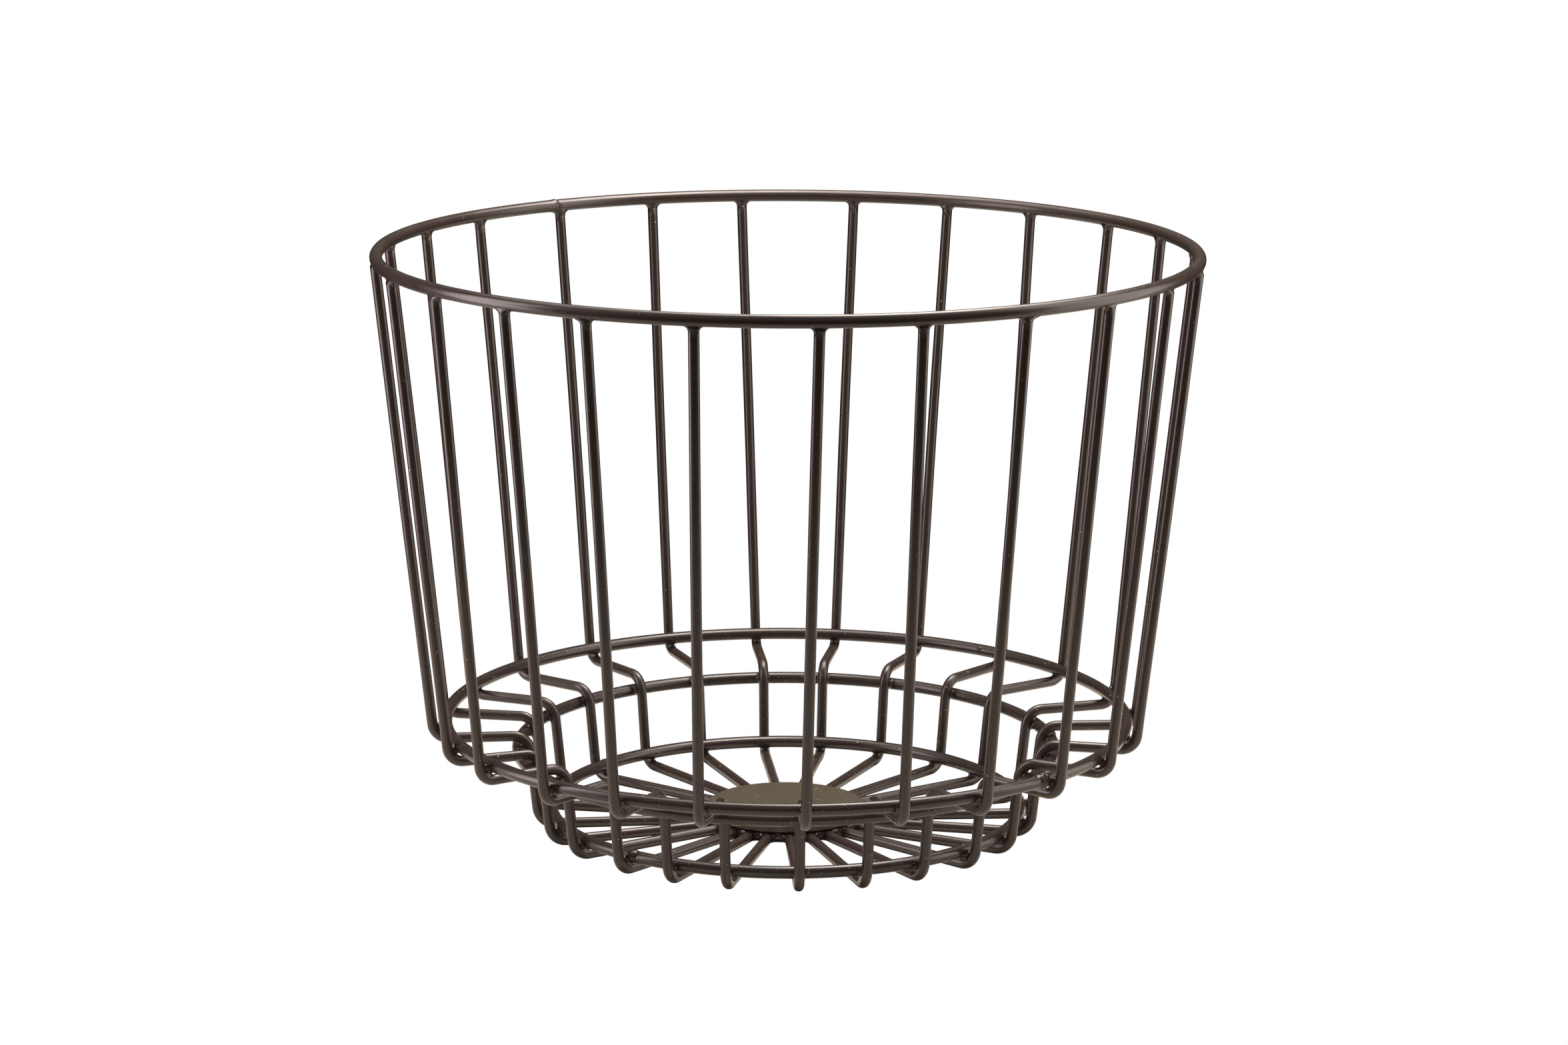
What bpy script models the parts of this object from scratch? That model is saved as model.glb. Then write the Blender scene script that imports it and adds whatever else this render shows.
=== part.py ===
"""Wire produce basket: a welded wireform standing on its own ringed foot.

Metres, +Z up.  The origin is the centre of the foot on the plane it rests on.
Azimuths are in degrees, measured from the front (-Y) and growing towards +X.

Thirty separate pieces: 24 ribs, each one bent wire that runs from the rim to the
hub, five plain rings of round wire and one flat disc.  Every piece is its own
solid, kept a little clear of the pieces it would be welded to.
"""

import math
import random

import bmesh
import bpy
from mathutils import Vector

# ---------------------------------------------------------------- wire
RIM_WIRE = 0.0040            # diameters, powder coat included
RING_WIRE = 0.0039
RIB_WIRE = 0.0033

WIRE_SIDES = 8               # sides of every wire section, flats up and down
BEND_STEPS = 4               # straight chords in each bend

# The polygon section has the same area as the round wire it stands for.  These
# scale the round wire's radius to the polygon's corners and to its flats.
CORNER_SCALE = math.sqrt(math.pi / (0.5 * WIRE_SIDES * math.sin(2.0 * math.pi / WIRE_SIDES)))
FLAT_SCALE = CORNER_SCALE * math.cos(math.pi / WIRE_SIDES)

WELD_GAP = 0.0003            # from rib to rim, rib to hub ring and disc to hub ring

# ---------------------------------------------------------------- ribs
# Corners of the centre line, before bending
RIB_TOP_RADIUS = 0.1285      # at the height of the rim's centre line
SHOULDER_CORNER_RADIUS = 0.1122
FOOT_TOP_CORNER_RADIUS = 0.0823
FOOT_CORNER_RADIUS = 0.0791
STEP_Z = 0.0307              # level run between wall and foot
FLOOR_Z = 0.5 * RIB_WIRE * FLAT_SCALE          # spokes rest on their lower flats

SHOULDER_BEND = 0.0052       # centre-line bend radii
FOOT_TOP_BEND = 0.0055
FOOT_BEND = 0.0058

# The ribs are set by hand in a jig that sits a little off the axis of the rings.  So
# the even pitch is turned from the front, it opens and closes once round the basket,
# and each rib stands a little off it.  All but the count and the seed are in degrees.
RIB_COUNT = 24
RIM_TURN = 4.9               # turn of the rib tops
FOOT_TURN = 4.2              # turn of the rib feet
RIM_DRIFT = 1.7              # what the jig's offset adds at most, at the rim
FOOT_DRIFT = 2.5             # the same at the foot
DRIFT_TOWARDS = 217.0        # azimuth where it adds that much
HAND_SCATTER = 1.2           # play of the hand, either way
HAND_SEED = 24

# ---------------------------------------------------------------- rings
RIM_Z = 0.1846
HUB_RING_RADIUS = 0.0229
HUB_RING_Z = 0.5 * RING_WIRE * FLAT_SCALE      # rests on its lower flat

SHOULDER_RING_RISE = 0.0047  # above the centre line of the step
FOOT_TOP_RING_DROP = 0.0051  # below the centre line of the step
BASE_RING_RISE = 0.0044      # above the centre line of the floor spokes

# name, centre-line radius, wire diameter, centre-line height, segments
RINGS = (
    ("rim_ring", 0.1280, RIM_WIRE, RIM_Z, 72),
    ("shoulder_ring", 0.1083, RING_WIRE, STEP_Z + SHOULDER_RING_RISE, 72),
    ("foot_top_ring", 0.0856, RING_WIRE, STEP_Z - FOOT_TOP_RING_DROP, 60),
    ("base_ring", 0.0750, RING_WIRE, FLOOR_Z + BASE_RING_RISE, 60),
    ("hub_ring", HUB_RING_RADIUS, RING_WIRE, HUB_RING_Z, 36),
)

# ---------------------------------------------------------------- disc
DISC_RADIUS = 0.0253
DISC_BOTTOM_Z = HUB_RING_Z + 0.5 * RING_WIRE * FLAT_SCALE + WELD_GAP
DISC_TOP_Z = 0.0060
DISC_BEVEL = 0.0003
DISC_SEGMENTS = 48

# ---------------------------------------------------------------- finish
SHARP_ANGLE = 50.0           # degrees; edges that turn more are shaded sharp

# Powder coats: base colour and roughness
WIRE_COAT = {"colour": (0.036, 0.027, 0.025), "roughness": 0.42}
DISC_COAT = {"colour": (0.075, 0.062, 0.052), "roughness": 0.5}

UP = Vector((0.0, 0.0, 1.0))


# ---------------------------------------------------------------- paths
def polar(radius, azimuth, z):
    """Point at a radius, an azimuth and a height."""
    angle = math.radians(azimuth)
    return Vector((radius * math.sin(angle), -radius * math.cos(angle), z))


def bend(before, corner, after, radius):
    """Points along the arc that rounds one corner of a polyline."""
    to_before = (before - corner).normalized()
    to_after = (after - corner).normalized()
    half_angle = 0.5 * to_before.angle(to_after)
    centre = corner + (to_before + to_after).normalized() * (radius / math.sin(half_angle))
    setback = radius / math.tan(half_angle)
    start_arm = corner + to_before * setback - centre
    end_arm = corner + to_after * setback - centre
    sweep = math.pi - 2.0 * half_angle

    points = []
    for step in range(BEND_STEPS + 1):
        turned = sweep * step / BEND_STEPS
        arm = start_arm * math.sin(sweep - turned) + end_arm * math.sin(turned)
        points.append(centre + arm / math.sin(sweep))
    return points


def round_corners(corners, radii):
    """Polyline through corners with each inner one replaced by an arc."""
    path = [corners[0]]
    for before, corner, after, radius in zip(corners, corners[1:], corners[2:], radii):
        path += bend(before, corner, after, radius)
    path.append(corners[-1])
    return path


# ---------------------------------------------------------------- meshes
def add_section(bm, centre, side, up, diameter):
    """Closed loop of wire section vertices, flats facing side and up."""
    radius = 0.5 * diameter * CORNER_SCALE
    loop = []
    for i in range(WIRE_SIDES):
        angle = 2.0 * math.pi * (i + 0.5) / WIRE_SIDES
        offset = side * (radius * math.cos(angle)) + up * (radius * math.sin(angle))
        loop.append(bm.verts.new(centre + offset))
    return loop


def skin(bm, first, second):
    """Wall of quads between two section loops."""
    for i in range(WIRE_SIDES):
        j = (i + 1) % WIRE_SIDES
        bm.faces.new((first[i], first[j], second[j], second[i]))


def finish_mesh(name, bm):
    bmesh.ops.recalc_face_normals(bm, faces=bm.faces)
    mesh = bpy.data.meshes.new(name)
    bm.to_mesh(mesh)
    bm.free()
    mesh.shade_smooth()
    mesh.set_sharp_from_angle(angle=math.radians(SHARP_ANGLE))
    return mesh


def wire_mesh(name, path, diameter, side):
    """Solid wire along an open path, square-cut at both ends."""
    bm = bmesh.new()
    chords = [(end - start).normalized() for start, end in zip(path, path[1:])]
    loops = []
    # The first and last chords are repeated, so the end sections lie square to them.
    for point, back, ahead in zip(path, chords[:1] + chords, chords + chords[-1:]):
        tangent = (back + ahead).normalized()
        side = (side - tangent * side.dot(tangent)).normalized()
        # A mitred section is stretched so the wire keeps its thickness.
        stretch = 1.0 / math.cos(0.5 * back.angle(ahead))
        up = side.cross(tangent).normalized() * stretch
        loops.append(add_section(bm, point, side, up, diameter))
    for first, second in zip(loops, loops[1:]):
        skin(bm, first, second)
    bm.faces.new(loops[0])
    bm.faces.new(list(reversed(loops[-1])))
    return finish_mesh(name, bm)


def ring_mesh(name, radius, diameter, segments):
    """Closed ring of wire about the Z axis, centred on its own origin."""
    bm = bmesh.new()
    loops = []
    for i in range(segments):
        azimuth = 360.0 * i / segments
        centre = polar(radius, azimuth, 0.0)
        outward = polar(1.0, azimuth, 0.0)
        loops.append(add_section(bm, centre, outward, UP, diameter))
    for i in range(segments):
        skin(bm, loops[i], loops[(i + 1) % segments])
    return finish_mesh(name, bm)


def disc_mesh(name):
    """Flat plate with lightly bevelled edges."""
    bm = bmesh.new()
    bmesh.ops.create_circle(bm, cap_ends=True, radius=DISC_RADIUS, segments=DISC_SEGMENTS)
    bmesh.ops.translate(bm, verts=bm.verts, vec=(0.0, 0.0, DISC_BOTTOM_Z))
    extruded = bmesh.ops.extrude_face_region(bm, geom=bm.faces[:])
    top = [item for item in extruded["geom"] if isinstance(item, bmesh.types.BMVert)]
    bmesh.ops.translate(bm, verts=top, vec=(0.0, 0.0, DISC_TOP_Z - DISC_BOTTOM_Z))

    level = 1e-6             # height difference below which an edge counts as level
    outline = [edge for edge in bm.edges
               if abs(edge.verts[0].co.z - edge.verts[1].co.z) < level]
    bmesh.ops.bevel(bm, geom=outline, offset=DISC_BEVEL, segments=1, profile=0.5,
                    affect="EDGES")
    return finish_mesh(name, bm)


# ---------------------------------------------------------------- objects
def coat_material(name, colour, roughness):
    """Powder-coated steel."""
    material = bpy.data.materials.new(name)
    material.use_nodes = True
    shader = material.node_tree.nodes["Principled BSDF"]
    shader.inputs["Base Color"].default_value = (*colour, 1.0)
    shader.inputs["Roughness"].default_value = roughness
    shader.inputs["Metallic"].default_value = 0.0
    return material


def place(mesh, coat, parent, z=0.0):
    """Object named after its mesh, with a coat material of its own."""
    mesh.materials.append(coat_material(mesh.name + "_coat", **coat))
    piece = bpy.data.objects.new(mesh.name, mesh)
    bpy.context.scene.collection.objects.link(piece)
    piece.parent = parent
    piece.location = (0.0, 0.0, z)


# ---------------------------------------------------------------- pieces
def rib_azimuths():
    """Azimuth of every rib at the rim and at the foot."""
    hand = random.Random(HAND_SEED)
    azimuths = []
    for index in range(RIB_COUNT):
        even = 360.0 * index / RIB_COUNT
        drift = math.cos(math.radians(even - DRIFT_TOWARDS))
        at_rim = even + RIM_TURN + RIM_DRIFT * drift + hand.uniform(-HAND_SCATTER, HAND_SCATTER)
        at_foot = even + FOOT_TURN + FOOT_DRIFT * drift + hand.uniform(-HAND_SCATTER, HAND_SCATTER)
        azimuths.append((at_rim, at_foot))
    return azimuths


def rib_path(at_rim, at_foot):
    """Centre line of one rib, from under the rim down to the hub ring."""
    top_z = RIM_Z - 0.5 * RIM_WIRE * CORNER_SCALE - WELD_GAP
    lean = (RIB_TOP_RADIUS - SHOULDER_CORNER_RADIUS) / (RIM_Z - STEP_Z)
    top_radius = RIB_TOP_RADIUS - lean * (RIM_Z - top_z)
    end_radius = HUB_RING_RADIUS + 0.5 * RING_WIRE * CORNER_SCALE + WELD_GAP
    corners = [
        polar(top_radius, at_rim, top_z),
        polar(SHOULDER_CORNER_RADIUS, at_foot, STEP_Z),
        polar(FOOT_TOP_CORNER_RADIUS, at_foot, STEP_Z),
        polar(FOOT_CORNER_RADIUS, at_foot, FLOOR_Z),
        polar(end_radius, at_foot, FLOOR_Z),
    ]
    return round_corners(corners, (SHOULDER_BEND, FOOT_TOP_BEND, FOOT_BEND))


def add_rings(basket):
    for name, radius, diameter, z, segments in RINGS:
        place(ring_mesh(name, radius, diameter, segments), WIRE_COAT, basket, z)


def add_disc(basket):
    place(disc_mesh("centre_disc"), DISC_COAT, basket)


def add_ribs(basket):
    for number, (at_rim, at_foot) in enumerate(rib_azimuths(), start=1):
        across = polar(1.0, at_foot + 90.0, 0.0)
        mesh = wire_mesh(f"rib_{number:02d}", rib_path(at_rim, at_foot), RIB_WIRE, across)
        place(mesh, WIRE_COAT, basket)


def clear_scene():
    for old in list(bpy.data.objects):
        bpy.data.objects.remove(old, do_unlink=True)


def build():
    clear_scene()
    basket = bpy.data.objects.new("basket", None)
    bpy.context.scene.collection.objects.link(basket)
    add_rings(basket)
    add_disc(basket)
    add_ribs(basket)


build()
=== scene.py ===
"""Looks for the wire produce basket: round wires, weld metal, powder coat, studio.

The basket stands upright about the Z axis, its front towards -Y. Ribs run from under the
rim, past the shoulder, foot-top and base rings, to a hub ring under the centre disc. Ring
sizes and rib routes are read from the CAD pieces. Azimuths are in degrees from the front,
turning towards +X (the right).
"""

import math

import bmesh
import bpy
import numpy as np
from mathutils import Matrix, Vector


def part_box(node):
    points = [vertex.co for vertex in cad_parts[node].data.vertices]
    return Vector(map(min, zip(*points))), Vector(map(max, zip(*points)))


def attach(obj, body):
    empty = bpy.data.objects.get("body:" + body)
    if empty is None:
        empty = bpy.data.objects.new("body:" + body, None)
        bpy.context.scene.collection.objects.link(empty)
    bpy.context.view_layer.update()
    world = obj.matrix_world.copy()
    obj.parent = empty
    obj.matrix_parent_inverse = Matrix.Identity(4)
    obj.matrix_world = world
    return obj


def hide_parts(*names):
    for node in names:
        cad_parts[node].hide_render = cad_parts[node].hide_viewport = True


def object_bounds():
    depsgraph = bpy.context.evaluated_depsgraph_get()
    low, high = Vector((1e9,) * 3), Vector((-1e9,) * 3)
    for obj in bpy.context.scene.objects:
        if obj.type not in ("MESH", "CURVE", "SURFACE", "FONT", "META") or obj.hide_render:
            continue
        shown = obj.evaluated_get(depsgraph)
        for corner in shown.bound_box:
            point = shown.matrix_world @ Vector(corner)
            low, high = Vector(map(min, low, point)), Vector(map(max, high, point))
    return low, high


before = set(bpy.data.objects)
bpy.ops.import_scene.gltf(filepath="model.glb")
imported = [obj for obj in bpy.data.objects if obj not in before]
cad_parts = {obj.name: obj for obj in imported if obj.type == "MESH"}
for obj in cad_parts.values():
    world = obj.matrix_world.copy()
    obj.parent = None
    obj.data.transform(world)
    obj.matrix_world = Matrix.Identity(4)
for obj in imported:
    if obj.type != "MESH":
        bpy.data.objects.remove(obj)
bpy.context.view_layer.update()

MM = 0.001
TAU = 2.0 * math.pi
UP = np.array((0.0, 0.0, 1.0))

# CAD wires are many-sided sections of the same area as the round wire they stand for;
# CAD_FLAT is the half height across their flats over the radius of the round wire.
CAD_SIDES = 8
CAD_FLAT = (math.sqrt(math.pi / (0.5 * CAD_SIDES * math.sin(TAU / CAD_SIDES)))
            * math.cos(0.5 * TAU / CAD_SIDES))
TOP_LAYER = 5.0 * MM         # depth that holds the first layer of a rib's CAD mesh
MERGE_DISTANCE = 1e-6

# Wire meshes
RIB_SIDES = 28
RING_SIDES = 30
RING_SECTIONS = 300
JOINT_STEP = 0.09            # mm between ring sections at a butt weld
BEND_STEPS = 14
RUN_STEP = 4.0 * MM          # spacing of sections along straight runs

# Ribs
RIB_GAP = 0.04 * MM          # a rib starts this far above its CAD top
RIB_OVERRUN = 1.3 * MM       # and runs on this far past its CAD end
BOW_ACROSS = 0.22 * MM       # most that a wall bows sideways
BOW_OUT = 0.16 * MM          # and in or out
RADIUS_DRIFT = 0.006         # share by which the wire radius drifts
DRIFT_LENGTH = 9.0 * MM      # length along the wire per radian of that drift

# Centre disc
DISC_SEGMENTS = 144
DISC_UPPER_EDGE = 0.42 * MM
DISC_LOWER_EDGE = 0.22 * MM
DISC_SEAT = 0.08 * MM        # the disc sinks this far into the hub ring

# Welds
SINK = 0.018 * MM            # weld shells lie this far under the wires they join
RIM_FILLET = 1.75 * MM       # leg of the fillet between rib top and rim
CROSS_FILLET = 1.45 * MM     # where a rib passes a ring
HUB_FILLET = 1.15 * MM
RETOUCHED = (2, 6, 8, 14, 16, 21, 22)    # ribs with a larger lump of metal at the rim
RUN_BACK = (21, 22)                      # ribs whose lump always lies towards lower azimuth
TACKS = 6
FIRST_TACK = 21.0            # azimuth
TACK_FROM_RIB = 7.5          # degrees from a rib's foot to a disc tack


# ------------------------------------------------------------------ small helpers
def at(radius, azimuth, z):
    """Point at a radius, an azimuth in degrees from the front (-Y) and a height."""
    a = math.radians(azimuth)
    return np.array((radius * math.sin(a), -radius * math.cos(a), z))


def unit(vector):
    return vector / np.linalg.norm(vector)


def azimuth_of(point):
    return math.degrees(math.atan2(point[0], -point[1])) % 360.0


def turn_between(azimuth, reference):
    """Signed angle from reference to azimuth, in degrees, the short way round."""
    return (azimuth - reference + 180.0) % 360.0 - 180.0


def bend_half_angle(first, second):
    """Half the angle between two unit vectors."""
    return 0.5 * math.acos(float(np.clip(first @ second, -1.0, 1.0)))


# ------------------------------------------------------------------ what the CAD says
def read_ring(name):
    low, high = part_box(name)
    half = 0.5 * (high.z - low.z)
    return {"radius": high.x - half, "z": 0.5 * (high.z + low.z), "wire": half / CAD_FLAT}


def rib_layers(name):
    """Centres of the layers of a rib's CAD mesh from the top, and the last layer's points."""
    bm = bmesh.new()
    bm.from_mesh(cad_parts[name].data)
    bmesh.ops.remove_doubles(bm, verts=bm.verts, dist=MERGE_DISTANCE)
    top = max(v.co.z for v in bm.verts)
    layer = {v for v in bm.verts if v.co.z > top - TOP_LAYER}
    seen = set(layer)
    centres = []
    while layer:
        points = np.array([v.co for v in layer])
        centres.append(points.mean(axis=0))
        layer = {e.other_vert(v) for v in layer for e in v.link_edges} - seen
        seen |= layer
    bm.free()
    return centres, points


def read_rib(name):
    """Ends, corners, bend radii and wire radius of one rib."""
    centres, last = rib_layers(name)
    # four straight runs alternate with three bends of equal steps
    steps = (len(centres) - 2) // 3
    runs = [(centres[k * steps], centres[k * steps + 1]) for k in range(4)]
    corners, bends = [], []
    for (a, b), (c, d) in zip(runs, runs[1:]):
        before, after = unit(b - a), unit(d - c)
        cosine = before @ after
        # nearest points of the two runs' lines meet at the corner
        matrix = np.array([[before @ before, -cosine], [cosine, -(after @ after)]])
        s, t = np.linalg.solve(matrix, np.array([(c - a) @ before, (c - a) @ after]))
        corner = 0.5 * ((a + before * s) + (c + after * t))
        corners.append(corner)
        half = bend_half_angle(-before, after)
        bends.append(float(np.linalg.norm(b - corner)) * math.tan(half))
    top, end = centres[0], centres[-1]
    return {"top": top, "corners": corners, "bends": bends, "end": end,
            "down": unit(corners[0] - top),
            "wire": 0.5 * (last[:, 2].max() - last[:, 2].min()) / CAD_FLAT,
            "top_azimuth": azimuth_of(top), "foot_azimuth": azimuth_of(end)}


rim = read_ring("rim_ring")
shoulder = read_ring("shoulder_ring")
foot_top = read_ring("foot_top_ring")
base = read_ring("base_ring")
hub = read_ring("hub_ring")
rib_names = sorted(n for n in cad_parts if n.startswith("rib_"))
ribs = [read_rib(n) for n in rib_names]

# azimuths of the rings' butt welds
RIM_JOINT = ribs[14]["top_azimuth"] + 1.0
SHOULDER_JOINT = ribs[3]["foot_azimuth"] - 2.2
BASE_JOINT = ribs[21]["foot_azimuth"] + 1.6
FOOT_TOP_JOINT = ribs[6]["foot_azimuth"] + 4.0
HUB_JOINT = 0.5 * (ribs[11]["foot_azimuth"] + ribs[12]["foot_azimuth"])


# ------------------------------------------------------------------ shader nodes
class NodeMaker:
    """Adds nodes to a shader tree. Inputs are given as values or as sockets to link."""

    def __init__(self, tree):
        self.tree = tree

    def feed(self, slot, value):
        if isinstance(value, bpy.types.NodeSocket):
            self.tree.links.new(value, slot)
        else:
            slot.default_value = value

    def add(self, kind, inputs=None, **settings):
        node = self.tree.nodes.new("ShaderNode" + kind)
        for name, value in settings.items():
            setattr(node, name, value)
        for key, value in (inputs or {}).items():
            self.feed(node.inputs[key], value)
        return node

    def math(self, operation, *values, clamp=False):
        node = self.add("Math", dict(enumerate(values)), operation=operation, use_clamp=clamp)
        return node.outputs[0]

    def shifted(self, vector, shift):
        return self.add("VectorMath", {0: vector, 1: shift}, operation="ADD").outputs[0]

    def noise(self, place, scale, detail, roughness, offset):
        vector = self.shifted(place, (offset, offset * 1.7, -offset))
        return self.add("TexNoise", {"Scale": scale, "Detail": detail, "Roughness": roughness,
                                     "Vector": vector}).outputs["Fac"]

    def map_range(self, value, low, high, to_low=0.0, to_high=1.0, **settings):
        return self.add("MapRange", {"Value": value, "From Min": low, "From Max": high,
                                     "To Min": to_low, "To Max": to_high}, **settings).outputs[0]

    def mix(self, factor, first, second):
        """Blends colours, each a socket or an RGB tuple."""
        first, second = ((*c, 1.0) if isinstance(c, tuple) else c for c in (first, second))
        return self.add("Mix", {"Factor": factor, "A": first, "B": second},
                        data_type="RGBA").outputs["Result"]

    def bump(self, height, strength, distance, normal=None):
        inputs = {"Strength": strength, "Distance": distance, "Height": height}
        if normal is not None:
            inputs["Normal"] = normal
        return self.add("Bump", inputs).outputs["Normal"]


# ------------------------------------------------------------------ powder coat
PURPLE_BROWN = (0.0330, 0.0203, 0.0208)
OLIVE_BROWN = (0.0312, 0.0232, 0.0164)
NIB_COLOUR = (0.70, 0.62, 0.50)
# dust nibs: cells per metre, largest size in cells, share of cells filled, pattern offset
NIB_LAYERS = ((330.0, 0.075, 0.70, 0.0), (620.0, 0.095, 0.55, 5.3))


def coat_colour(make, place, weld, first_tone, second_tone, seed):
    """Slow drift between two tones, darkened by mottling, weld metal and fine grain."""
    def darker(share):
        return tuple(share * 0.5 * (a + b) for a, b in zip(first_tone, second_tone))

    drift = make.noise(place, scale=38.0, detail=2.0, roughness=0.5, offset=seed)
    colour = make.mix(make.map_range(drift, 0.38, 0.62), first_tone, second_tone)
    mottle = make.noise(place, scale=900.0, detail=3.0, roughness=0.6, offset=seed + 3.0)
    mottle = make.map_range(mottle, 0.30, 0.72)
    colour = make.mix(make.math("MULTIPLY", mottle, 0.45), colour, darker(0.72))
    colour = make.mix(make.math("MULTIPLY", weld, 0.10), colour, darker(0.72))
    grain = make.noise(place, scale=3300.0, detail=2.0, roughness=0.5, offset=seed + 17.0)
    grain = make.map_range(grain, 0.36, 0.64)
    return make.mix(make.math("MULTIPLY", grain, 0.55), colour, darker(0.45))


def coat_nibs(make, place, nib_share, seed):
    """Mask of small round grains, more of them low on the basket."""
    position = make.add("NewGeometry").outputs["Position"]
    height = make.add("SeparateXYZ", {0: position}).outputs["Z"]
    low_down = make.map_range(height, low=0.020, high=0.120, to_low=1.5, to_high=0.42)
    nibs = None
    for scale, size, share, offset in NIB_LAYERS:
        vector = make.shifted(place, (offset + seed, offset, seed))
        cells = make.add("TexVoronoi", {"Scale": scale, "Randomness": 1.0, "Vector": vector},
                         feature="F1")
        chance = make.add("SeparateColor", {0: cells.outputs["Color"]})
        radius = make.math("MULTIPLY", chance.outputs[1], size)
        inside = make.math("LESS_THAN", cells.outputs["Distance"], radius)
        limit = make.math("MULTIPLY", low_down, share * nib_share)
        chosen = make.math("LESS_THAN", chance.outputs[0], limit)
        layer = make.math("MULTIPLY", inside, chosen)
        nibs = layer if nibs is None else make.math("MAXIMUM", nibs, layer)
    return nibs


def coat_roughness(make, place, weld, nibs, level, seed):
    """Satin and a little uneven, glossier over weld metal and duller on the nibs."""
    patches = make.noise(place, scale=55.0, detail=3.0, roughness=0.55, offset=seed + 8.0)
    patches = make.map_range(patches, 0.32, 0.68, level - 0.045, level + 0.045)
    fine = make.noise(place, scale=700.0, detail=2.0, roughness=0.5, offset=seed + 11.0)
    fine = make.map_range(fine, 0.3, 0.7, -0.02, 0.02)
    value = make.math("ADD", patches, fine)
    value = make.math("SUBTRACT", value, make.math("MULTIPLY", weld, 0.08))
    return make.math("ADD", value, make.math("MULTIPLY", nibs, 0.2), clamp=True)


def coat_relief(make, place, nibs, seed):
    """Orange peel of the cured powder, slower waves, and the nibs standing proud."""
    peel = make.noise(place, scale=1150.0, detail=2.0, roughness=0.45, offset=seed + 2.0)
    normal = make.bump(peel, strength=0.35, distance=0.012 * MM)
    waves = make.noise(place, scale=230.0, detail=1.0, roughness=0.4, offset=seed + 6.0)
    normal = make.bump(waves, strength=0.5, distance=0.045 * MM, normal=normal)
    return make.bump(nibs, strength=0.8, distance=0.06 * MM, normal=normal)


def coat_material(name, first_tone, second_tone, nib_share, roughness, seed):
    """Satin powder coat over welded wire, with pale dust nibs set in it."""
    material = bpy.data.materials.new(name)
    material.use_nodes = True
    make = NodeMaker(material.node_tree)
    place = make.add("TexCoord").outputs["Object"]
    weld = make.add("Attribute", attribute_name="weld").outputs["Fac"]
    colour = coat_colour(make, place, weld, first_tone, second_tone, seed)
    nibs = coat_nibs(make, place, nib_share, seed)
    colour = make.mix(make.math("MULTIPLY", nibs, 0.75), colour, NIB_COLOUR)
    inputs = {
        "Base Color": colour,
        "Roughness": coat_roughness(make, place, weld, nibs, roughness, seed),
        "IOR": 1.5,
        "Metallic": 0.0,
        "Normal": coat_relief(make, place, nibs, seed),
    }
    shader = material.node_tree.nodes["Principled BSDF"]
    for key, value in inputs.items():
        make.feed(shader.inputs[key], value)
    return material


def brown_coat(name, level, nib_share, seed):
    """The wires' coat; level lightens or darkens both tones."""
    tones = [tuple(level * c for c in tone) for tone in (PURPLE_BROWN, OLIVE_BROWN)]
    return coat_material(name, *tones, nib_share=nib_share, roughness=0.28, seed=seed)


# coats by slot name
COATS = {
    "rim_coat": brown_coat("rim_powder_coat", level=1.10, nib_share=0.55, seed=1.0),
    # the rings' coat is the wires' coat at a lower level: painted shade, darker low on the basket
    # than the rim and ribs
    "ring_coat": brown_coat("ring_powder_coat_painted_shade", level=0.84, nib_share=1.0, seed=14.0),
    "rib_coat": brown_coat("rib_powder_coat", level=1.08, nib_share=0.8, seed=27.0),
    # the disc's tones are the wires' coat made about twice as light and yellower: painted light on
    # its upward-facing top
    "disc_coat": coat_material("disc_powder_coat_painted_light", first_tone=(0.068, 0.0580, 0.0385),
                               second_tone=(0.060, 0.0520, 0.0335), nib_share=2.6,
                               roughness=0.40, seed=41.0),
}


def add_piece(name, verts, faces, slot, weld=0.0, replaces=None):
    """Smooth object in the coat of a slot. weld: how much of each vertex is weld metal."""
    mesh = bpy.data.meshes.new(name)
    mesh.from_pydata([tuple(v) for v in verts], [], faces)
    mesh.validate()
    mesh.update()
    mesh.shade_smooth()
    attribute = mesh.attributes.new("weld", "FLOAT", "POINT")
    attribute.data.foreach_set("value", np.full(len(verts), weld, np.float32))
    mesh.materials.append(COATS[slot])
    piece = bpy.data.objects.new(name, mesh)
    bpy.context.scene.collection.objects.link(piece)
    if replaces:
        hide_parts(replaces)
    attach(piece, "root")


# ------------------------------------------------------------------ rings
def ring_azimuths(ring, joint, reach):
    """Azimuths of a ring's sections, set close within reach (mm) of its butt weld."""
    joint = joint % 360.0
    per_mm = math.degrees(MM / ring["radius"])
    pitch = 360.0 / RING_SECTIONS
    azimuths = {round(i * pitch, 4) for i in range(RING_SECTIONS)}
    azimuths = {a for a in azimuths if abs(turn_between(a, joint)) > reach * per_mm}
    count = int(reach / JOINT_STEP)
    azimuths |= {(joint + i * JOINT_STEP * per_mm) % 360.0 for i in range(-count, count + 1)}
    return sorted(azimuths)


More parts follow.
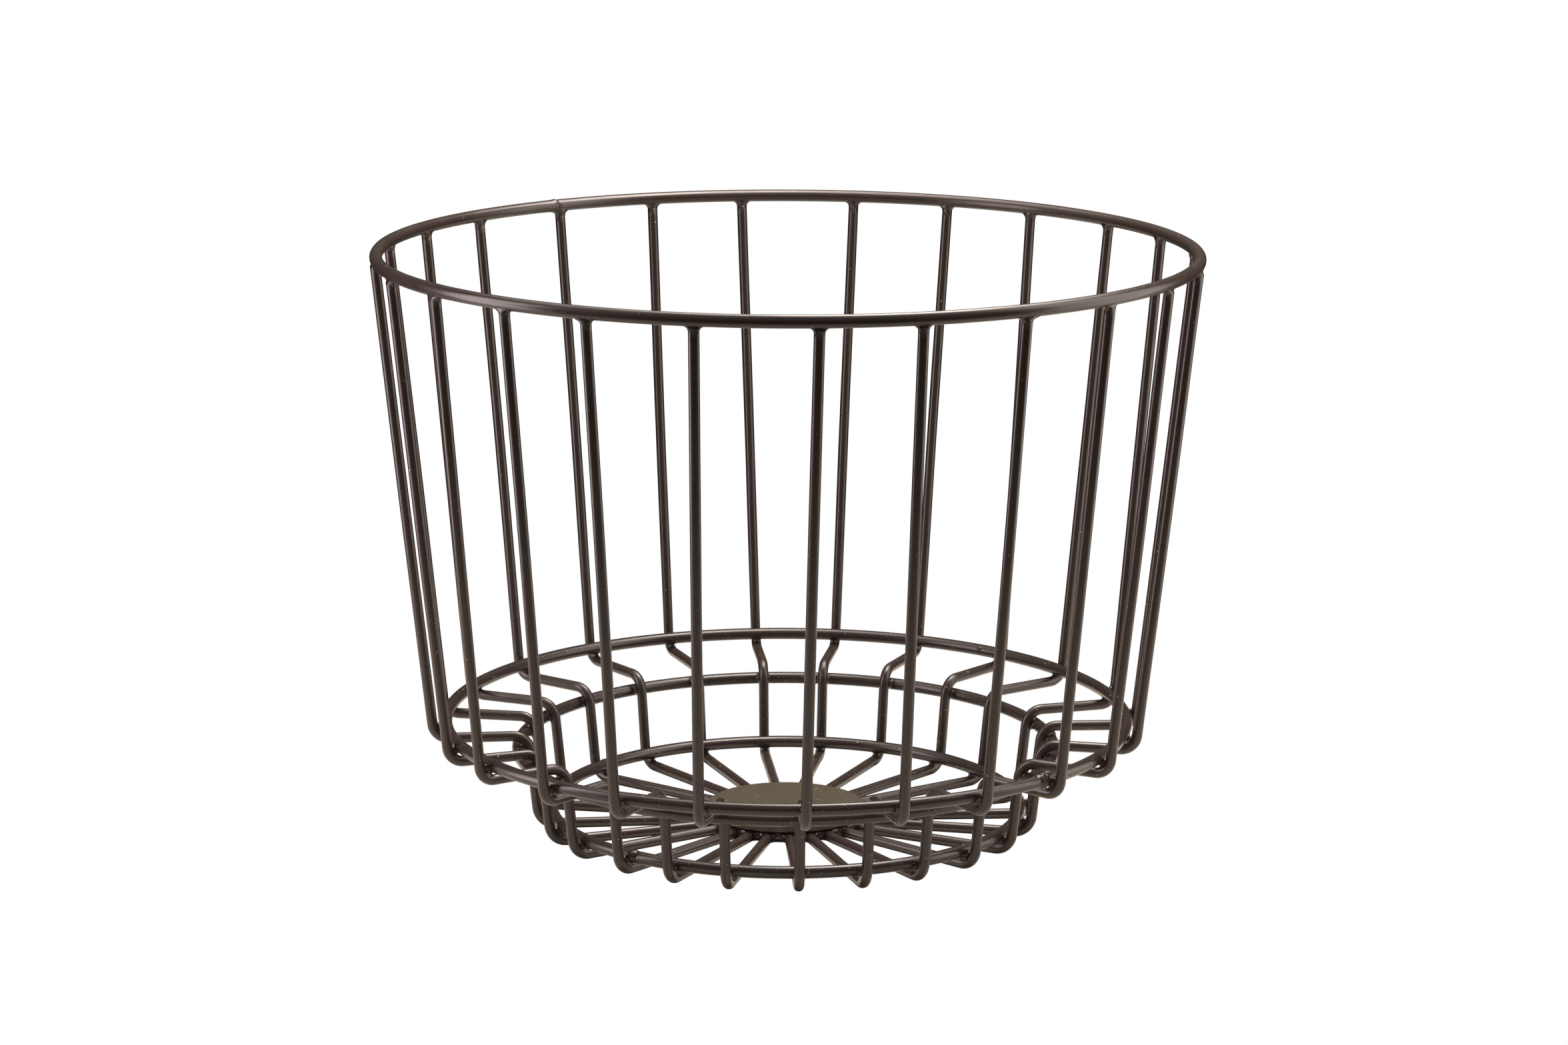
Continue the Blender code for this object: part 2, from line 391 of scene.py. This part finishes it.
def add_ring(name, ring, slot, joint, reach, metal, bumps, flat_below=False):
    """A ring of round wire that swells at its butt weld.

    joint: azimuth of the weld. Lengths are in mm, places along the ring from the joint.
    metal: (share, place, width) of the weld metal.
    bumps: (height, place, width, unevenness, waves round the wire, their phase).
    """
    turn = np.arange(RING_SIDES) * (TAU / RING_SIDES)        # 0 is outward, a quarter is up
    # dressed flat underneath, or left whole
    kept = np.clip(1.0 + 1.6 * np.sin(turn), 0.0, 1.0) if flat_below else 1.0
    azimuths = ring_azimuths(ring, joint, reach)
    verts, weld = [], []
    for azimuth in azimuths:
        along = turn_between(azimuth, joint) * math.radians(1.0) * ring["radius"] / MM

        def lump(place, width):
            return math.exp(-((along - place) / width) ** 2)

        grow = 0.0
        for height, place, width, uneven, waves, phase in bumps:
            grow = grow + height * lump(place, width) * (1.0 + uneven * np.sin(waves * turn + phase))
        radius = ring["wire"] + grow * kept * MM
        out = at(1.0, azimuth, 0.0)
        centre = at(ring["radius"], azimuth, ring["z"])
        verts.append(centre + np.outer(radius * np.cos(turn), out)
                     + np.outer(radius * np.sin(turn), UP))
        share, place, width = metal
        weld.append(np.full(RING_SIDES, share * lump(place, width)))
    faces = []
    for i in range(len(azimuths)):
        a, b = i * RING_SIDES, ((i + 1) % len(azimuths)) * RING_SIDES
        for j in range(RING_SIDES):
            k = (j + 1) % RING_SIDES
            faces.append((a + j, b + j, b + k, a + k))
    add_piece(name + "_wire", np.concatenate(verts), faces, slot, np.concatenate(weld), name)


# back left beside a rib: a low dressed hump with a narrow crease where the ends meet
add_ring("rim_ring", rim, "rim_coat", RIM_JOINT, reach=7.0, metal=(0.8, -0.2, 2.2), bumps=(
    (0.11, 0.4, 3.2, 0.5, 2.0, 0.8),
    (0.15, 0.2, 0.55, 0.6, 3.0, 2.0),
    (-0.13, -1.0, 0.4, 0.0, 0.0, 0.0),
))
# front right: a beaded collar left undressed
add_ring("shoulder_ring", shoulder, "ring_coat", SHOULDER_JOINT, reach=6.0,
         metal=(1.0, 0.8, 3.0), bumps=(
             (0.42, -0.9, 0.55, 0.30, 3.0, 0.4),
             (0.36, 0.75, 0.50, 0.38, 4.0, 1.9),
             (0.22, 2.0, 0.60, 0.55, 5.0, 3.1),
             (0.10, 0.4, 2.6, 0.0, 0.0, 0.0),
         ))
# at the right
add_ring("foot_top_ring", foot_top, "ring_coat", FOOT_TOP_JOINT, reach=4.5,
         metal=(1.0, 0.0, 2.6), bumps=(
             (0.28, 0.0, 0.8, 0.5, 3.0, 0.2),
             (0.12, -1.6, 0.6, 0.6, 4.0, 1.0),
         ))
# front left, next to a rib
add_ring("base_ring", base, "ring_coat", BASE_JOINT, reach=4.5, metal=(1.0, 0.4, 2.4), bumps=(
    (0.20, 0.0, 0.9, 0.5, 3.0, 1.2),
    (-0.16, 1.6, 0.5, 0.5, 2.0, 0.0),
))
# midway between two ribs at the back
add_ring("hub_ring", hub, "ring_coat", HUB_JOINT, reach=3.0, metal=(1.0, 0.0, 2.0),
         bumps=((0.12, 0.0, 0.9, 0.4, 2.0, 0.0),), flat_below=True)


# ------------------------------------------------------------------ ribs
def rounded(points, radii):
    """Points of a path with each inner corner turned into an arc."""
    path = [points[0]]
    for before, corner, after, radius in zip(points, points[1:], points[2:], radii):
        back, on = unit(before - corner), unit(after - corner)
        half = bend_half_angle(back, on)
        centre = corner + unit(back + on) * (radius / math.sin(half))
        start = corner + back * (radius / math.tan(half)) - centre
        end = corner + on * (radius / math.tan(half)) - centre
        sweep = math.pi - 2.0 * half
        for i in range(BEND_STEPS + 1):
            t = i / BEND_STEPS
            path.append(centre + (start * math.sin((1.0 - t) * sweep)
                                  + end * math.sin(t * sweep)) / math.sin(sweep))
    path.append(points[-1])
    return path


def fill_runs(path):
    """Adds sections along the long straight runs."""
    filled = [path[0]]
    for a, b in zip(path, path[1:]):
        count = max(1, int(round(np.linalg.norm(b - a) / RUN_STEP)))
        filled += [a + (b - a) * (i / count) for i in range(1, count + 1)]
    return np.array(filled)


def tube(path, radii, side):
    """Round wire along an open path, one radius per section. side: where sections start."""
    count = len(path)
    tangents = np.gradient(path, axis=0)
    tangents /= np.linalg.norm(tangents, axis=1)[:, None]
    turn = np.arange(RIB_SIDES) * (TAU / RIB_SIDES)
    verts = np.empty((count, RIB_SIDES, 3))
    for i in range(count):
        side = unit(side - tangents[i] * (side @ tangents[i]))
        above = np.cross(side, tangents[i])
        verts[i] = path[i] + radii[i] * (np.outer(np.cos(turn), side)
                                         + np.outer(np.sin(turn), above))
    faces = []
    for i in range(count - 1):
        a, b = i * RIB_SIDES, (i + 1) * RIB_SIDES
        for j in range(RIB_SIDES):
            k = (j + 1) % RIB_SIDES
            faces.append((a + j, a + k, b + k, b + j))
    faces.append(tuple(reversed(range(RIB_SIDES))))
    faces.append(tuple(range((count - 1) * RIB_SIDES, count * RIB_SIDES)))
    return verts.reshape(-1, 3), faces


def add_rib(name, rib, rng):
    """Builds one rib and keeps its path for the welds."""
    down = rib["down"]
    start = rib["top"] - down * RIB_GAP
    end = rib["end"] + unit(rib["end"] - rib["corners"][2]) * RIB_OVERRUN
    bends = rounded([start] + rib["corners"] + [end], rib["bends"])
    path = fill_runs(bends)
    # the wall, the run above the first bend, bows by a hair
    steps = np.linalg.norm(np.diff(path, axis=0), axis=1)
    length = np.concatenate([[0.0], np.cumsum(steps)])
    wall = float(np.linalg.norm(bends[1] - start))
    bow = np.sin(math.pi * np.clip(length / wall, 0.0, 1.0)) ** 2
    across = unit(np.cross(down, UP))
    outward = unit(np.cross(across, down))
    path = path + np.outer(bow * rng.uniform(-BOW_ACROSS / MM, BOW_ACROSS / MM) * MM, across)
    path = path + np.outer(bow * rng.uniform(-BOW_OUT / MM, BOW_OUT / MM) * MM, outward)
    rib["path"] = path
    drift = np.sin(length / DRIFT_LENGTH + rng.uniform(0.0, TAU))
    verts, faces = tube(path, rib["wire"] * (1.0 + RADIUS_DRIFT * drift), across)
    add_piece(name + "_wire", verts, faces, "rib_coat", replaces=name)


rib_rng = np.random.default_rng(24)
for name, rib in zip(rib_names, ribs):
    add_rib(name, rib, rib_rng)


# ------------------------------------------------------------------ centre disc
def lathe(profile, segments):
    """Closed turned shape from (radius, height) pairs that start and end on the axis."""
    verts, faces, rows = [(0.0, 0.0, profile[0][1])], [], []
    for radius, z in profile[1:-1]:
        rows.append(len(verts))
        verts += [tuple(at(radius, 360.0 * i / segments, z)) for i in range(segments)]
    verts.append((0.0, 0.0, profile[-1][1]))
    for i in range(segments):
        j = (i + 1) % segments
        faces.append((0, rows[0] + i, rows[0] + j))
        faces.append((len(verts) - 1, rows[-1] + j, rows[-1] + i))
        for a, b in zip(rows, rows[1:]):
            faces.append((a + i, b + i, b + j, a + j))
    return verts, faces


def add_disc(under):
    """Flat disc with a rounded rim, its underside at height under."""
    _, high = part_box("centre_disc")
    radius, top = high.x, high.z
    profile = [(radius * t, top) for t in (0.0, 0.2, 0.4, 0.6, 0.8, 0.93)]
    edge = DISC_UPPER_EDGE
    for i in range(7):
        a = 0.5 * math.pi * i / 6
        profile.append((radius - edge + edge * math.sin(a), top - edge + edge * math.cos(a)))
    edge = DISC_LOWER_EDGE
    for i in range(5):
        a = 0.5 * math.pi * i / 4
        profile.append((radius - edge + edge * math.cos(a), under + edge - edge * math.sin(a)))
    profile += [(radius * t, under) for t in (0.93, 0.7, 0.4, 0.0)]
    verts, faces = lathe(profile, DISC_SEGMENTS)
    add_piece("centre_disc_plate", verts, faces, "disc_coat", replaces="centre_disc")


disc_under = hub["z"] + hub["wire"] - DISC_SEAT
add_disc(disc_under)


# ------------------------------------------------------------------ distances and shells
def sphere_directions(level):
    """Unit directions and faces of an icosphere."""
    bm = bmesh.new()
    bmesh.ops.create_icosphere(bm, subdivisions=level, radius=1.0)
    bm.verts.ensure_lookup_table()
    dirs = np.array([v.co for v in bm.verts])
    dirs /= np.linalg.norm(dirs, axis=1)[:, None]
    faces = [tuple(v.index for v in f.verts) for f in bm.faces]
    bm.free()
    return dirs, faces


FINE_SPHERE = sphere_directions(5)
PLAIN_SPHERE = sphere_directions(4)
BEAD_SPHERE = sphere_directions(3)


def torus_distance(ring):
    def distance(p):
        out = np.hypot(p[:, 0], p[:, 1]) - ring["radius"]
        return np.hypot(out, p[:, 2] - ring["z"]) - ring["wire"]
    return distance


def wire_distance(path, radius):
    starts = np.array(path[:-1])
    spans = np.array(path[1:]) - starts
    squares = (spans * spans).sum(1)

    def distance(p):
        best = np.full(len(p), 1e9)
        for start, span, square in zip(starts, spans, squares):
            q = p - start
            t = np.clip((q @ span) / square, 0.0, 1.0)
            best = np.minimum(best, ((q - t[:, None] * span) ** 2).sum(1))
        return np.sqrt(best) - radius
    return distance


def stub_distance(end, down, radius):
    """Wire that starts square at end and runs on along down."""
    def distance(p):
        q = p - end
        above = -(q @ down)
        out = np.linalg.norm(q + above[:, None] * down, axis=1) - radius
        outside = np.hypot(np.clip(out, 0.0, None), np.clip(above, 0.0, None))
        return outside + np.minimum(np.maximum(out, above), 0.0)
    return distance


def weld_shell(origin, first, second, leg, reach, rng, sphere, extra=None, rough=0.05 * MM):
    """Closed shell round origin: the two wires with a fillet of the given leg between
    them, kept SINK under their surfaces away from the fillet. extra is the distance of a
    bead of metal that ran on past the joint and its blend length. Returns vertices, faces
    and how much of each vertex is weld metal."""
    dirs, faces = sphere
    waves = rng.normal(size=(4, 3))
    waves /= np.linalg.norm(waves, axis=1)[:, None]
    waves *= (TAU / (rng.uniform(1.1, 3.2, size=4) * MM))[:, None]
    phases = rng.uniform(0.0, TAU, size=4)

    def field(p):
        a, b = first(p) + SINK, second(p) + SINK
        near_a, near_b = np.clip(leg - a, 0.0, None), np.clip(leg - b, 0.0, None)
        value = np.maximum(leg, np.minimum(a, b)) - np.hypot(near_a, near_b)
        lumps = np.sin(p @ waves.T + phases).mean(axis=1)
        share_a, share_b = np.clip(near_a / leg, 0.0, 1.0), np.clip(near_b / leg, 0.0, 1.0)
        value = value - rough * lumps * share_a * share_b * 2.0
        if extra is not None:
            bead, blend = extra
            other = bead(p)
            overlap = np.clip(blend - np.abs(value - other), 0.0, None) / blend
            value = np.minimum(value, other) - overlap * overlap * blend * 0.25
        return value

    # first crossing outward along each direction, then halved down to the surface
    count, halvings = 44, 9
    t = np.linspace(0.0, reach, count + 1)
    points = origin + dirs[:, None, :] * t[None, :, None]
    values = field(points.reshape(-1, 3)).reshape(len(dirs), count + 1)
    outside = values > 0.0
    outside[:, 0] = False
    hit = outside.any(axis=1)
    index = np.where(hit, outside.argmax(axis=1), count)
    low, high = t[index - 1], t[index]
    for _ in range(halvings):
        middle = 0.5 * (low + high)
        out = field(origin + dirs * middle[:, None]) > 0.0
        high = np.where(hit & out, middle, high)
        low = np.where(hit & ~out, middle, low)
    verts = origin + dirs * np.where(hit, low, reach)[:, None]
    share_a = np.clip(1.0 - first(verts) / leg, 0.0, 1.0)
    share_b = np.clip(1.0 - second(verts) / leg, 0.0, 1.0)
    return verts, faces, np.clip(3.0 * (share_a * share_b - 0.15), 0.0, 1.0) * hit


class Shells:
    """Collects many closed shells into one object."""

    def __init__(self):
        self.verts, self.faces, self.metal, self.count = [], [], [], 0

    def add(self, verts, faces, metal=1.0):
        self.verts.append(verts)
        self.faces += [tuple(i + self.count for i in f) for f in faces]
        self.metal.append(np.broadcast_to(metal, len(verts)))
        self.count += len(verts)

    def build(self, name, slot):
        add_piece(name, np.concatenate(self.verts), self.faces, slot, np.concatenate(self.metal))


def near_part(path, point, reach):
    """The sections of a path within reach of a point, one more each way."""
    close = np.where(np.linalg.norm(path - point, axis=1) < reach)[0]
    first, last = max(close.min() - 1, 0), min(close.max() + 1, len(path) - 1)
    return path[first:last + 1]


# ------------------------------------------------------------------ welds
def rim_weld(k, rib, rng):
    """Weld between the top of rib k and the rim, with a run of metal to one side."""
    azimuth = rib["top_azimuth"]
    along = at(1.0, azimuth + 90.0, 0.0)
    down = rib["down"]
    start = rib["top"] - down * (0.55 * MM)
    side = -1.0 if k in RUN_BACK else rng.choice((-1.0, 1.0))
    run = side * rng.uniform(0.6, 1.1) * MM
    bead = rng.uniform(0.35, 0.5) * MM
    if k in RETOUCHED:
        run, bead = run * 2.9, bead * 1.75
    end = start + along * run - down * 0.35 * MM
    return weld_shell(at(rim["radius"], azimuth, rim["z"]), torus_distance(rim),
                      stub_distance(rib["top"], down, rib["wire"]),
                      leg=RIM_FILLET * rng.uniform(0.86, 1.12), reach=6.6 * MM, rng=rng,
                      sphere=FINE_SPHERE, extra=(wire_distance([start, end], bead), 0.9 * MM))


def cross_weld(ring, rib, rng):
    """Weld where a rib passes a ring; about a third carry a run of metal to one side."""
    azimuth = rib["foot_azimuth"]
    centre = at(ring["radius"], azimuth, ring["z"])
    near = near_part(rib["path"], centre, reach=9.0 * MM)
    fine = np.concatenate([np.linspace(a, b, 9)[:-1] for a, b in zip(near, near[1:])])
    touch = fine[np.linalg.norm(fine - centre, axis=1).argmin()]
    gap = np.linalg.norm(touch - centre) - ring["wire"] - rib["wire"]
    origin = centre + unit(touch - centre) * (ring["wire"] + 0.5 * gap)
    run = rng.choice((-1.0, 1.0)) * rng.uniform(0.5, 1.1) * MM
    end = origin + at(1.0, azimuth + 90.0, 0.0) * run
    extra = (wire_distance([origin, end], rng.uniform(0.28, 0.45) * MM), 0.7 * MM)
    if rng.uniform() > 0.35:
        extra = None
    return weld_shell(origin, torus_distance(ring), wire_distance(near, rib["wire"]),
                      leg=CROSS_FILLET * rng.uniform(0.85, 1.25), reach=2.9 * MM, rng=rng,
                      sphere=PLAIN_SPHERE, extra=extra)


def hub_weld(rib, rng):
    near = near_part(rib["path"], rib["end"], reach=8.0 * MM)
    verts, faces, metal = weld_shell(
        at(hub["radius"], rib["foot_azimuth"], hub["z"]), torus_distance(hub),
        wire_distance(near, rib["wire"]), leg=HUB_FILLET * rng.uniform(0.8, 1.15),
        reach=4.9 * MM, rng=rng, sphere=PLAIN_SPHERE, rough=0.07 * MM)
    verts[:, 2] = np.maximum(verts[:, 2], 0.0)               # flush with the resting plane
    return verts, faces, metal


def disc_tack(azimuth, rng):
    """Flattened blob that holds the disc to the hub ring, near an azimuth."""
    places = [rib["foot_azimuth"] + TACK_FROM_RIB for rib in ribs]
    place = min(places, key=lambda p: abs(turn_between(p, azimuth)))
    centre = at(hub["radius"] - 1.0 * MM, place, disc_under - 0.35 * MM)
    axes = np.array([at(1.0, place, 0.0), at(1.0, place + 90.0, 0.0), UP])
    # half sizes outward, along the ring and upward
    ranges = ((0.9, 1.2), (1.3, 1.9), (0.6, 0.8))
    sizes = np.array([rng.uniform(*limits) for limits in ranges]) * MM
    dirs, faces = PLAIN_SPHERE
    wobble = 1.0 + 0.06 * np.sin(dirs @ rng.normal(size=3) * 3.0 + rng.uniform(0.0, TAU))
    return centre + (dirs * sizes * wobble[:, None]) @ axes, faces


weld_rng = np.random.default_rng(7)
sides = ("front_right", "back", "front_left")
rim_welds = {side: Shells() for side in sides}
for k, rib in enumerate(ribs):
    rim_welds[sides[k * 3 // len(ribs)]].add(*rim_weld(k, rib, weld_rng))
for side, shells in rim_welds.items():
    shells.build("rim_welds_" + side, "rib_coat")

for name, ring in (("shoulder_welds", shoulder), ("foot_top_welds", foot_top),
                   ("base_welds", base)):
    shells = Shells()
    for rib in ribs:
        shells.add(*cross_weld(ring, rib, weld_rng))
    shells.build(name, "ring_coat")

shells = Shells()
for rib in ribs:
    shells.add(*hub_weld(rib, weld_rng))
for i in range(TACKS):
    shells.add(*disc_tack(FIRST_TACK + i * 360.0 / TACKS, weld_rng))
shells.build("hub_welds", "ring_coat")


# ------------------------------------------------------------------ spatter
rng = np.random.default_rng(91)
spatter = Shells()


def add_bead(axis_point, normal, wire, size):
    """Flattened bead on a wire, left out where it would reach below the resting plane."""
    radius = size * rng.uniform(0.45, 1.0)
    centre = axis_point + normal * (wire + 0.25 * radius)
    if centre[2] < radius:
        return
    dirs, faces = BEAD_SPHERE
    squash = 1.0 - 0.25 * np.abs(dirs @ normal)
    spatter.add(centre + dirs * (radius * squash)[:, None], faces, 0.3)


def beads_on_ring(ring, azimuth, spread, count, size, turns=(0.0, TAU)):
    """Beads round an azimuth; spread in degrees, turns the range round the wire."""
    for _ in range(count):
        place = azimuth + rng.normal() * spread
        turn = rng.uniform(*turns)
        normal = at(1.0, place, 0.0) * math.cos(turn) + UP * math.sin(turn)
        add_bead(at(ring["radius"], place, ring["z"]), normal, ring["wire"], size)


def beads_on_rib(rib, point, spread, count, size):
    path = rib["path"]
    for _ in range(count):
        aim = point + rng.normal(size=3) * spread
        i = np.linalg.norm(path - aim, axis=1).argmin()
        i = min(max(i, 1), len(path) - 2)
        tangent = unit(path[i + 1] - path[i - 1])
        axis_point = path[i] + tangent * ((aim - path[i]) @ tangent)
        normal = aim - axis_point
        normal = unit(normal - tangent * (normal @ tangent))
        add_bead(axis_point, normal, rib["wire"], size)


def beside(ring, rib, out=0.0, degrees=0.0, rise=0.0):
    """Point on a ring at a rib's foot azimuth, moved out, round and up."""
    return at(ring["radius"] + out, rib["foot_azimuth"] + degrees, ring["z"] + rise)


def add_nub(azimuth):
    """One round nub on the inner upper side of the shoulder ring."""
    radius, squash, sink = 1.0 * MM, 0.20, 0.45 * MM
    normal = unit(-at(1.0, azimuth, 0.0) * 0.9 + UP * 0.45)
    centre = (at(shoulder["radius"], azimuth, shoulder["z"])
              + normal * (shoulder["wire"] - sink))
    dirs, faces = FINE_SPHERE
    spatter.add(centre + dirs * radius * (1.0 - squash * np.abs(dirs @ normal))[:, None], faces)


# round the butt welds
beads_on_ring(shoulder, SHOULDER_JOINT + 1.0, spread=0.8, count=8, size=0.40 * MM)
beads_on_rib(ribs[3], beside(shoulder, ribs[3], out=1.5 * MM, degrees=-0.6, rise=-0.5 * MM),
             spread=0.8 * MM, count=4, size=0.26 * MM)
beads_on_ring(foot_top, FOOT_TOP_JOINT, spread=1.6, count=8, size=0.32 * MM)
beads_on_rib(ribs[6], beside(foot_top, ribs[6]), spread=2.2 * MM, count=5, size=0.28 * MM)
beads_on_ring(base, BASE_JOINT, spread=1.3, count=8, size=0.30 * MM)
beads_on_rib(ribs[21], beside(base, ribs[21], out=1.0 * MM, degrees=0.8, rise=-2.0 * MM),
             spread=1.5 * MM, count=4, size=0.26 * MM)
# under the rim and on the rib at the front left
beads_on_ring(rim, ribs[22]["top_azimuth"] - 1.25, spread=0.12, count=2, size=0.62 * MM,
              turns=(-1.5, -1.1))
beads_on_rib(ribs[22], ribs[22]["top"] + np.array((0.0, -1.0 * MM, -2.5 * MM)),
             spread=0.9 * MM, count=3, size=0.26 * MM)
# a few at every rib
for rib in ribs:
    foot = rib["foot_azimuth"]
    beads_on_ring(base, foot + rng.normal() * 0.8, spread=0.9, count=rng.integers(0, 3),
                  size=0.30 * MM)
    beads_on_ring(hub, foot + rng.normal() * 1.5, spread=2.0, count=rng.integers(0, 3),
                  size=0.30 * MM)
    if rng.uniform() < 0.4:
        beads_on_ring(shoulder, foot + rng.normal() * 0.7, spread=0.7, count=1, size=0.28 * MM)
# back right
add_nub((ribs[9]["foot_azimuth"] + 2.8) % 360.0)
spatter.build("weld_spatter", "ring_coat")


# ------------------------------------------------------------------ studio
scene = bpy.context.scene
low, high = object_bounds()
WHITE = (1.0, 1.0, 1.0, 1.0)
WARM = (1.0, 0.895, 0.812)
PINKISH = (1.0, 0.86, 0.87)
PAPER_TINT = (1.0, 0.97, 0.87)


def floor_material():
    """Paper that is plain white to the camera and lights the basket from a round patch."""
    material = bpy.data.materials.new("studio_floor_paper")
    material.use_nodes = True
    nodes = material.node_tree.nodes
    nodes.remove(nodes["Principled BSDF"])
    make = NodeMaker(material.node_tree)
    # the paper is pale near the basket and almost black further out
    position = make.add("NewGeometry").outputs["Position"]
    flat = make.add("VectorMath", {0: position, 1: (1.0, 1.0, 0.0)},
                    operation="MULTIPLY").outputs[0]
    distance = make.add("VectorMath", {0: flat}, operation="LENGTH").outputs["Value"]
    fade = make.map_range(distance, low=0.24, high=0.46, to_low=0.66, to_high=0.05,
                          interpolation_type="SMOOTHSTEP")
    tint = make.add("VectorMath", {0: PAPER_TINT, "Scale": fade}, operation="SCALE")
    paper = make.add("BsdfDiffuse", {"Color": tint.outputs[0]})
    white = make.add("Emission", {"Color": WHITE, "Strength": 1.0})
    camera_ray = make.add("LightPath").outputs["Is Camera Ray"]
    seen = make.add("MixShader", {"Fac": camera_ray, 1: paper.outputs[0], 2: white.outputs[0]})
    make.feed(nodes["Material Output"].inputs["Surface"], seen.outputs[0])
    return material


bpy.ops.mesh.primitive_plane_add(size=30.0, location=(0.0, 0.0, low.z - 0.02 * MM))
floor = bpy.context.object
floor.name = "studio_floor"
floor.data.materials.append(floor_material())

# strength round the horizon, from the front (0) through both sides (0.5) to the back (1)
HORIZON = ((0.0, 0.15), (0.32, 0.15), (0.48, 0.42), (0.60, 0.32), (0.76, 0.08), (1.0, 0.07))


def build_world():
    """Surround: white to the camera; it lights most from the sides and overhead."""
    world = bpy.data.worlds.new("studio_surround")
    scene.world = world
    world.use_nodes = True
    world.node_tree.nodes.clear()
    make = NodeMaker(world.node_tree)
    direction = make.add("TexCoord").outputs["Generated"]
    x, y, z = make.add("SeparateXYZ", {0: direction}).outputs
    flat = make.math("SQRT", make.math("ADD", make.math("MULTIPLY", x, x),
                                       make.math("MULTIPLY", y, y)))
    backward = make.math("DIVIDE", y, make.math("MAXIMUM", flat, 0.001))
    place = make.math("MULTIPLY_ADD", backward, 0.5, 0.5)
    ramp = make.add("ValToRGB", {"Fac": place})
    ramp.color_ramp.interpolation = "EASE"
    elements = ramp.color_ramp.elements
    for end in (0, -1):
        elements[end].color = (*[HORIZON[end][1]] * 3, 1.0)
    for position, value in HORIZON[1:-1]:
        elements.new(position).color = (value, value, value, 1.0)
    dome = make.map_range(z, low=0.25, high=0.80, to_low=1.0, to_high=3.0)
    level = make.math("MULTIPLY", ramp.outputs["Color"], dome)
    surround = make.add("Background", {"Color": (*WARM, 1.0), "Strength": level})
    backdrop = make.add("Background", {"Color": WHITE, "Strength": 1.0})
    camera_ray = make.add("LightPath").outputs["Is Camera Ray"]
    seen = make.add("MixShader", {"Fac": camera_ray, 1: surround.outputs[0],
                                  2: backdrop.outputs[0]})
    make.add("OutputWorld", {"Surface": seen.outputs[0]})


def softbox(name, location, aim, width, height, radiance, colour=WARM):
    data = bpy.data.lights.new(name, "AREA")
    data.shape = "RECTANGLE"
    data.size, data.size_y = width, height
    data.energy = radiance * width * height * math.pi
    data.color = colour
    light = bpy.data.objects.new(name, data)
    light.location = location
    light.rotation_mode = "QUATERNION"
    light.rotation_quaternion = (Vector(aim) - Vector(location)).to_track_quat("-Z", "Y")
    light.visible_camera = False
    scene.collection.objects.link(light)


def overhead(name, x, y, rise, **box):
    """Softbox this far above the basket, facing straight down."""
    softbox(name, (x, y, high.z + rise), (x, y, 0.0), **box)


def strip(name, x, y, z, **box):
    """Softbox beside the basket, facing level across it."""
    softbox(name, (x, y, z), (0.0, y, z), **box)


build_world()
overhead("overhead_softbox", 0.11, 0.18, rise=0.38, width=0.46, height=0.38, radiance=6.0)
overhead("overhead_left", -0.22, 0.18, rise=0.38, width=0.20, height=0.38, radiance=2.2)
overhead("overhead_core", 0.09, 0.14, rise=0.375, width=0.20, height=0.28, radiance=12.0)
strip("left_strip", -0.37, -0.10, 0.20, width=0.17, height=0.40, radiance=6.3, colour=PINKISH)
strip("right_strip", 0.37, -0.04, 0.29, width=0.29, height=0.58, radiance=2.9)


# ------------------------------------------------------------------ camera
CAMERA_PLACE = (0.0, -1.30809, 0.38606)
YAW, PITCH, ROLL = -0.0007, 0.2165, 0.0035       # radians; pitch is downward


def add_camera():
    data = bpy.data.cameras.new("studio_camera")
    data.sensor_fit = "HORIZONTAL"
    data.sensor_width = 36.0
    data.lens = 97.23
    data.clip_start, data.clip_end = 0.05, 60.0
    camera = bpy.data.objects.new("studio_camera", data)
    scene.collection.objects.link(camera)
    forward = Vector((math.sin(YAW) * math.cos(PITCH), math.cos(YAW) * math.cos(PITCH),
                      -math.sin(PITCH)))
    right = Vector((math.cos(YAW), -math.sin(YAW), 0.0))
    above = right.cross(forward)
    rolled_right = right * math.cos(ROLL) + above * math.sin(ROLL)
    rolled_above = above * math.cos(ROLL) - right * math.sin(ROLL)
    pose = Matrix((rolled_right, rolled_above, -forward)).transposed().to_4x4()
    pose.translation = Vector(CAMERA_PLACE)
    camera.matrix_world = pose
    scene.camera = camera


add_camera()
scene.view_settings.view_transform = "Standard"
scene.view_settings.look = "None"
scene.view_settings.exposure = 0.0
scene.view_settings.gamma = 1.0
